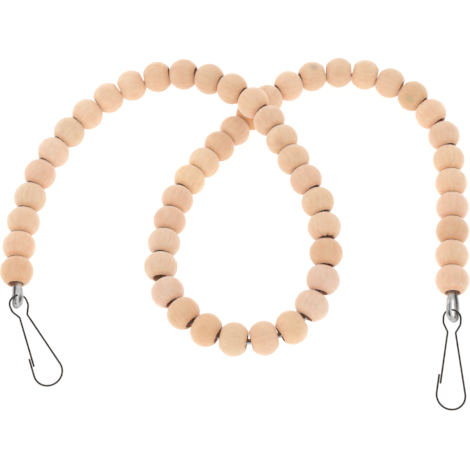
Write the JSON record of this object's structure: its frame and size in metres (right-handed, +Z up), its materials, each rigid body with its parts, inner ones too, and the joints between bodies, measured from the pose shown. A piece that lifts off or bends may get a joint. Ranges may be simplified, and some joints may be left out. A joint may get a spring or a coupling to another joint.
{
  "type": "bird swing",
  "caption": "Bead perch for a cage: turned wooden beads on a bendable wire bent into a looped arch, with a wire snap hook on an eye at each end.",
  "frame": {"origin": "on the table under the middle of the bounding box, as the toy lies flat", "axes": "+X from the left end to the right end of the arch, +Y away from the hooks towards the arch's tops, +Z up from the table"},
  "size_m": [0.2846, 0.2341, 0.0417],
  "materials": {
    "pale_wood": "matte, bare turned wood",
    "warm_wood": "matte, bare turned wood",
    "yellow_wood": "matte, bare turned wood",
    "core_wire": "satin drawn wire",
    "hook_wire": "bright nickel plate"
  },
  "bodies": {
    "core_wire": {"core_wire": "core_wire"},
    "bead_01": {"bead_01": "pale_wood"},
    "bead_02": {"bead_02": "warm_wood"},
    "bead_03": {"bead_03": "pale_wood"},
    "bead_04": {"bead_04": "yellow_wood"},
    "bead_05": {"bead_05": "warm_wood"},
    "bead_06": {"bead_06": "pale_wood"},
    "bead_07": {"bead_07": "yellow_wood"},
    "bead_08": {"bead_08": "pale_wood"},
    "bead_09": {"bead_09": "warm_wood"},
    "bead_10": {"bead_10": "pale_wood"},
    "bead_11": {"bead_11": "yellow_wood"},
    "bead_12": {"bead_12": "warm_wood"},
    "bead_13": {"bead_13": "pale_wood"},
    "bead_14": {"bead_14": "yellow_wood"},
    "bead_15": {"bead_15": "pale_wood"},
    "bead_16": {"bead_16": "warm_wood"},
    "bead_17": {"bead_17": "pale_wood"},
    "bead_18": {"bead_18": "yellow_wood"},
    "bead_19": {"bead_19": "warm_wood"},
    "bead_20": {"bead_20": "pale_wood"},
    "bead_21": {"bead_21": "yellow_wood"},
    "bead_22": {"bead_22": "pale_wood"},
    "bead_23": {"bead_23": "warm_wood"},
    "bead_24": {"bead_24": "pale_wood"},
    "bead_25": {"bead_25": "yellow_wood"},
    "bead_26": {"bead_26": "warm_wood"},
    "bead_27": {"bead_27": "pale_wood"},
    "bead_28": {"bead_28": "yellow_wood"},
    "bead_29": {"bead_29": "pale_wood"},
    "bead_30": {"bead_30": "warm_wood"},
    "bead_31": {"bead_31": "pale_wood"},
    "bead_32": {"bead_32": "yellow_wood"},
    "bead_33": {"bead_33": "warm_wood"},
    "bead_34": {"bead_34": "pale_wood"},
    "bead_35": {"bead_35": "yellow_wood"},
    "bead_36": {"bead_36": "pale_wood"},
    "bead_37": {"bead_37": "warm_wood"},
    "bead_38": {"bead_38": "pale_wood"},
    "bead_39": {"bead_39": "yellow_wood"},
    "bead_40": {"bead_40": "warm_wood"},
    "bead_41": {"bead_41": "pale_wood"},
    "bead_42": {"bead_42": "yellow_wood"},
    "bead_43": {"bead_43": "pale_wood"},
    "bead_44": {"bead_44": "warm_wood"},
    "bead_45": {"bead_45": "pale_wood"},
    "bead_46": {"bead_46": "yellow_wood"},
    "bead_47": {"bead_47": "warm_wood"},
    "bead_48": {"bead_48": "pale_wood"},
    "bead_49": {"bead_49": "yellow_wood"},
    "bead_50": {"bead_50": "pale_wood"},
    "bead_51": {"bead_51": "warm_wood"},
    "bead_52": {"bead_52": "pale_wood"},
    "bead_53": {"bead_53": "yellow_wood"},
    "bead_54": {"bead_54": "warm_wood"},
    "left_hook_frame": {"left_hook_frame": "hook_wire"},
    "left_hook_gate": {"left_hook_gate": "hook_wire"},
    "right_hook_frame": {"right_hook_frame": "hook_wire"},
    "right_hook_gate": {"right_hook_gate": "hook_wire"}
  },
  "joints": [
    {"name": "bead_01_spin", "type": "hinge", "parent": "core_wire", "child": "bead_01", "pos_m": [-0.13193, -0.03576, 0.01], "axis": [-0.0454, 0.999, 0], "continuous": true},
    {"name": "bead_02_spin", "type": "hinge", "parent": "core_wire", "child": "bead_02", "pos_m": [-0.13233, -0.01926, 0.01], "axis": [0.016, 0.9999, 0], "continuous": true},
    {"name": "bead_03_spin", "type": "hinge", "parent": "core_wire", "child": "bead_03", "pos_m": [-0.13146, -0.00276, 0.01], "axis": [0.0802, 0.9968, 0.0027], "continuous": true},
    {"name": "bead_04_spin", "type": "hinge", "parent": "core_wire", "child": "bead_04", "pos_m": [-0.12895, 0.01395, 0.01027], "axis": [0.2157, 0.9761, 0.0285], "continuous": true},
    {"name": "bead_05_spin", "type": "hinge", "parent": "core_wire", "child": "bead_05", "pos_m": [-0.12433, 0.03016, 0.01092], "axis": [0.3427, 0.9382, 0.0485], "continuous": true},
    {"name": "bead_06_spin", "type": "hinge", "parent": "core_wire", "child": "bead_06", "pos_m": [-0.11712, 0.04557, 0.01193], "axis": [0.494, 0.8667, 0.0693], "continuous": true},
    {"name": "bead_07_spin", "type": "hinge", "parent": "core_wire", "child": "bead_07", "pos_m": [-0.10807, 0.05971, 0.01324], "axis": [0.5981, 0.7964, 0.0895], "continuous": true},
    {"name": "bead_08_spin", "type": "hinge", "parent": "core_wire", "child": "bead_08", "pos_m": [-0.09709, 0.0723, 0.01493], "axis": [0.6868, 0.7189, 0.1072], "continuous": true},
    {"name": "bead_09_spin", "type": "hinge", "parent": "core_wire", "child": "bead_09", "pos_m": [-0.08401, 0.0834, 0.01712], "axis": [0.8246, 0.5465, 0.1463], "continuous": true},
    {"name": "bead_10_spin", "type": "hinge", "parent": "core_wire", "child": "bead_10", "pos_m": [-0.06906, 0.09116, 0.01989], "axis": [0.9039, 0.3918, 0.1714], "continuous": true},
    {"name": "bead_11_spin", "type": "hinge", "parent": "core_wire", "child": "bead_11", "pos_m": [-0.05231, 0.09556, 0.02313], "axis": [0.9759, 0.102, 0.1928], "continuous": true},
    {"name": "bead_12_spin", "type": "hinge", "parent": "core_wire", "child": "bead_12", "pos_m": [-0.0352, 0.09521, 0.02647], "axis": [0.9728, -0.1543, 0.173], "continuous": true},
    {"name": "bead_13_spin", "type": "hinge", "parent": "core_wire", "child": "bead_13", "pos_m": [-0.01863, 0.08962, 0.02898], "axis": [0.8877, -0.4463, 0.1129], "continuous": true},
    {"name": "bead_14_spin", "type": "hinge", "parent": "core_wire", "child": "bead_14", "pos_m": [-0.00403, 0.08109, 0.03058], "axis": [0.8124, -0.5792, 0.0672], "continuous": true},
    {"name": "bead_15_spin", "type": "hinge", "parent": "core_wire", "child": "bead_15", "pos_m": [0.00902, 0.0699, 0.03137], "axis": [0.6818, -0.7309, 0.0307], "continuous": true},
    {"name": "bead_16_spin", "type": "hinge", "parent": "core_wire", "child": "bead_16", "pos_m": [0.01883, 0.05638, 0.03165], "axis": [0.518, -0.8554, 0.0053], "continuous": true},
    {"name": "bead_17_spin", "type": "hinge", "parent": "core_wire", "child": "bead_17", "pos_m": [0.02637, 0.04266, 0.03149], "axis": [0.4447, -0.8953, -0.0255], "continuous": true},
    {"name": "bead_18_spin", "type": "hinge", "parent": "core_wire", "child": "bead_18", "pos_m": [0.03304, 0.02887, 0.03099], "axis": [0.4472, -0.8936, -0.0377], "continuous": true},
    {"name": "bead_19_spin", "type": "hinge", "parent": "core_wire", "child": "bead_19", "pos_m": [0.04019, 0.01526, 0.03033], "axis": [0.48, -0.876, -0.0473], "continuous": true},
    {"name": "bead_20_spin", "type": "hinge", "parent": "core_wire", "child": "bead_20", "pos_m": [0.04673, 0.00049, 0.02941], "axis": [0.2987, -0.9519, -0.0686], "continuous": true},
    {"name": "bead_21_spin", "type": "hinge", "parent": "core_wire", "child": "bead_21", "pos_m": [0.04999, -0.01522, 0.02814], "axis": [0.1228, -0.9882, -0.0916], "continuous": true},
    {"name": "bead_22_spin", "type": "hinge", "parent": "core_wire", "child": "bead_22", "pos_m": [0.05047, -0.03125, 0.02638], "axis": [-0.0638, -0.99, -0.1255], "continuous": true},
    {"name": "bead_23_spin", "type": "hinge", "parent": "core_wire", "child": "bead_23", "pos_m": [0.04819, -0.04717, 0.02424], "axis": [-0.2677, -0.9538, -0.1363], "continuous": true},
    {"name": "bead_24_spin", "type": "hinge", "parent": "core_wire", "child": "bead_24", "pos_m": [0.04141, -0.06207, 0.02195], "axis": [-0.5215, -0.8419, -0.1387], "continuous": true},
    {"name": "bead_25_spin", "type": "hinge", "parent": "core_wire", "child": "bead_25", "pos_m": [0.02971, -0.07449, 0.01975], "axis": [-0.8393, -0.5329, -0.1075], "continuous": true},
    {"name": "bead_26_spin", "type": "hinge", "parent": "core_wire", "child": "bead_26", "pos_m": [0.01405, -0.08038, 0.01831], "axis": [-0.9723, -0.222, -0.0727], "continuous": true},
    {"name": "bead_27_spin", "type": "hinge", "parent": "core_wire", "child": "bead_27", "pos_m": [-0.003, -0.08069, 0.0173], "axis": [-0.9815, 0.1865, -0.0429], "continuous": true},
    {"name": "bead_28_spin", "type": "hinge", "parent": "core_wire", "child": "bead_28", "pos_m": [-0.0186, -0.07493, 0.0168], "axis": [-0.8818, 0.4709, -0.0269], "continuous": true},
    {"name": "bead_29_spin", "type": "hinge", "parent": "core_wire", "child": "bead_29", "pos_m": [-0.03186, -0.06464, 0.01631], "axis": [-0.6748, 0.7374, -0.0296], "continuous": true},
    {"name": "bead_30_spin", "type": "hinge", "parent": "core_wire", "child": "bead_30", "pos_m": [-0.04144, -0.05142, 0.01581], "axis": [-0.4871, 0.8726, -0.0368], "continuous": true},
    {"name": "bead_31_spin", "type": "hinge", "parent": "core_wire", "child": "bead_31", "pos_m": [-0.04613, -0.03481, 0.01494], "axis": [-0.0412, 0.9972, -0.0616], "continuous": true},
    {"name": "bead_32_spin", "type": "hinge", "parent": "core_wire", "child": "bead_32", "pos_m": [-0.04478, -0.01883, 0.01387], "axis": [0.1372, 0.9882, -0.0678], "continuous": true},
    {"name": "bead_33_spin", "type": "hinge", "parent": "core_wire", "child": "bead_33", "pos_m": [-0.04199, -0.00349, 0.0128], "axis": [0.2195, 0.9731, -0.07], "continuous": true},
    {"name": "bead_34_spin", "type": "hinge", "parent": "core_wire", "child": "bead_34", "pos_m": [-0.03782, 0.01174, 0.01171], "axis": [0.3403, 0.9383, -0.062], "continuous": true},
    {"name": "bead_35_spin", "type": "hinge", "parent": "core_wire", "child": "bead_35", "pos_m": [-0.03071, 0.02632, 0.01086], "axis": [0.5301, 0.8469, -0.0428], "continuous": true},
    {"name": "bead_36_spin", "type": "hinge", "parent": "core_wire", "child": "bead_36", "pos_m": [-0.02177, 0.03908, 0.0103], "axis": [0.5935, 0.8044, -0.0281], "continuous": true},
    {"name": "bead_37_spin", "type": "hinge", "parent": "core_wire", "child": "bead_37", "pos_m": [-0.0123, 0.05129, 0.01002], "axis": [0.6315, 0.7753, -0.0075], "continuous": true},
    {"name": "bead_38_spin", "type": "hinge", "parent": "core_wire", "child": "bead_38", "pos_m": [-0.00242, 0.06302, 0.01], "axis": [0.6524, 0.7578, 0], "continuous": true},
    {"name": "bead_39_spin", "type": "hinge", "parent": "core_wire", "child": "bead_39", "pos_m": [0.00804, 0.07488, 0.01], "axis": [0.6702, 0.7421, 0], "continuous": true},
    {"name": "bead_40_spin", "type": "hinge", "parent": "core_wire", "child": "bead_40", "pos_m": [0.01922, 0.08698, 0.01001], "axis": [0.7098, 0.7044, 0.0064], "continuous": true},
    {"name": "bead_41_spin", "type": "hinge", "parent": "core_wire", "child": "bead_41", "pos_m": [0.03306, 0.09758, 0.01043], "axis": [0.8642, 0.5014, 0.0415], "continuous": true},
    {"name": "bead_42_spin", "type": "hinge", "parent": "core_wire", "child": "bead_42", "pos_m": [0.04885, 0.10462, 0.01132], "axis": [0.955, 0.2917, 0.0534], "continuous": true},
    {"name": "bead_43_spin", "type": "hinge", "parent": "core_wire", "child": "bead_43", "pos_m": [0.06634, 0.10706, 0.01224], "axis": [0.9986, -0.0202, 0.0485], "continuous": true},
    {"name": "bead_44_spin", "type": "hinge", "parent": "core_wire", "child": "bead_44", "pos_m": [0.08361, 0.10481, 0.01298], "axis": [0.9617, -0.272, 0.0337], "continuous": true},
    {"name": "bead_45_spin", "type": "hinge", "parent": "core_wire", "child": "bead_45", "pos_m": [0.09941, 0.09779, 0.0134], "axis": [0.8765, -0.4811, 0.0181], "continuous": true},
    {"name": "bead_46_spin", "type": "hinge", "parent": "core_wire", "child": "bead_46", "pos_m": [0.11354, 0.08741, 0.01352], "axis": [0.7096, -0.7046, -0.006], "continuous": true},
    {"name": "bead_47_spin", "type": "hinge", "parent": "core_wire", "child": "bead_47", "pos_m": [0.12402, 0.07369, 0.01321], "axis": [0.5405, -0.841, -0.0245], "continuous": true},
    {"name": "bead_48_spin", "type": "hinge", "parent": "core_wire", "child": "bead_48", "pos_m": [0.13093, 0.05726, 0.01262], "axis": [0.2146, -0.9758, -0.0411], "continuous": true},
    {"name": "bead_49_spin", "type": "hinge", "parent": "core_wire", "child": "bead_49", "pos_m": [0.13231, 0.04018, 0.01183], "axis": [0.0204, -0.9986, -0.048], "continuous": true},
    {"name": "bead_50_spin", "type": "hinge", "parent": "core_wire", "child": "bead_50", "pos_m": [0.13222, 0.02375, 0.01103], "axis": [-0.0304, -0.9983, -0.049], "continuous": true},
    {"name": "bead_51_spin", "type": "hinge", "parent": "core_wire", "child": "bead_51", "pos_m": [0.13139, 0.00736, 0.01029], "axis": [-0.0739, -0.9967, -0.0331], "continuous": true},
    {"name": "bead_52_spin", "type": "hinge", "parent": "core_wire", "child": "bead_52", "pos_m": [0.12972, -0.00907, 0.01], "axis": [-0.1281, -0.9918, -0.002], "continuous": true},
    {"name": "bead_53_spin", "type": "hinge", "parent": "core_wire", "child": "bead_53", "pos_m": [0.12766, -0.02521, 0.01], "axis": [-0.1123, -0.9937, 0], "continuous": true},
    {"name": "bead_54_spin", "type": "hinge", "parent": "core_wire", "child": "bead_54", "pos_m": [0.12612, -0.04148, 0.01], "axis": [-0.0834, -0.9965, 0], "continuous": true},
    {"name": "left_hook_swing", "type": "hinge", "parent": "core_wire", "child": "left_hook_frame", "pos_m": [-0.1293, -0.05539, 0.00829], "axis": [0.0633, -0.1321, 0.9892], "range_deg": [-75, 40]},
    {"name": "left_gate_press", "type": "hinge", "parent": "left_hook_frame", "child": "left_hook_gate", "pos_m": [-0.12722, -0.06545, 0.00682], "axis": [0.0633, -0.1321, 0.9892], "range_deg": [0, 14], "stiffness_Nm_per_rad": 0.2},
    {"name": "right_hook_swing", "type": "hinge", "parent": "core_wire", "child": "right_hook_frame", "pos_m": [0.12387, -0.06473, 0.00859], "axis": [-0.0167, -0.1513, 0.9884], "range_deg": [-60, 60]},
    {"name": "right_gate_press", "type": "hinge", "parent": "right_hook_frame", "child": "right_hook_gate", "pos_m": [0.12032, -0.07435, 0.00706], "axis": [-0.0167, -0.1513, 0.9884], "range_deg": [0, 14], "stiffness_Nm_per_rad": 0.2}
  ]
}
